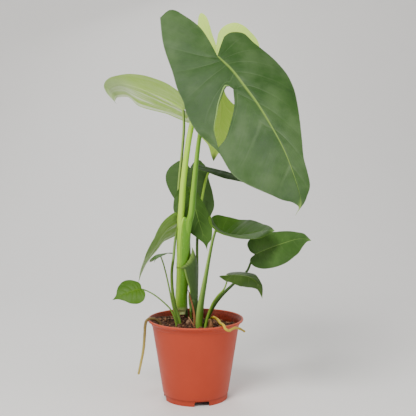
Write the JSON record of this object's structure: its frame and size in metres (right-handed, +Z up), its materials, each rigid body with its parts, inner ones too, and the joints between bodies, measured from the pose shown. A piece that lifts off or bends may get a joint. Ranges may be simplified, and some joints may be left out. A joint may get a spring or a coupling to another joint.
{
  "type": "potted plant",
  "caption": "Young climbing plant with broad heart-shaped leaves on tall stalks, an opened large leaf and aerial roots, in a tapered round nursery pot filled with peat.",
  "frame": {"origin": "on the pot's axis at floor level", "axes": "+Z up, -Y towards the plant's front as it is usually seen, +X to its right"},
  "size_m": [0.3614, 0.3129, 0.6905],
  "materials": {
    "pot": "terracotta-coloured moulded plastic with a low satin sheen",
    "soil": "dark brown peat with crumbs and bark flecks, dry and matt",
    "leaf_dark": "dark green leaf, waxy with a soft grey sheen and paler veins",
    "leaf_bright": "bright green young leaf, waxy",
    "leaf_pale": "pale yellow-green underside or new leaf, smooth",
    "stalk_green": "smooth green stalk with fine lengthwise lines",
    "stalk_dark": "smooth dark green stalk",
    "stalk_pale": "smooth pale yellow-green stem with fine lengthwise lines",
    "sheath": "olive-grey leaf sheath with a lighter edge",
    "dried": "brown dry plant matter, papery and matt",
    "root": "yellow-tan aerial root with a slightly rough skin"
  },
  "bodies": {
    "root": {"pot": "pot", "soil": "soil", "main_stem": "stalk_pale", "sheath": "sheath", "dried_strip": "dried", "dry_stump": "dried", "short_root": "dried", "aerial_root_left": "root", "aerial_root_right": "root", "leaf_big": "leaf_dark", "leaf_pale": "leaf_pale", "leaf_left_high": "leaf_pale", "leaf_round_back": "leaf_dark", "leaf_middle": "leaf_bright", "leaf_left_hanging": "leaf_pale", "leaf_left_thin": "leaf_dark", "leaf_right_folded": "leaf_dark", "leaf_left_heart": "leaf_bright", "leaf_right_high": "leaf_dark", "leaf_right_heart": "leaf_dark", "leaf_right_drooping": "leaf_bright", "stalk_big": "stalk_green", "stalk_pale": "stalk_pale", "stalk_left_high": "stalk_green", "stalk_round_back": "stalk_dark", "stalk_middle": "stalk_green", "stalk_left_hanging": "stalk_green", "stalk_left_thin": "stalk_green", "stalk_right_folded": "stalk_green", "stalk_left_heart": "stalk_green", "stalk_right_high": "stalk_dark", "stalk_right_heart": "stalk_dark", "stalk_right_drooping": "stalk_green"}
  },
  "joints": []
}
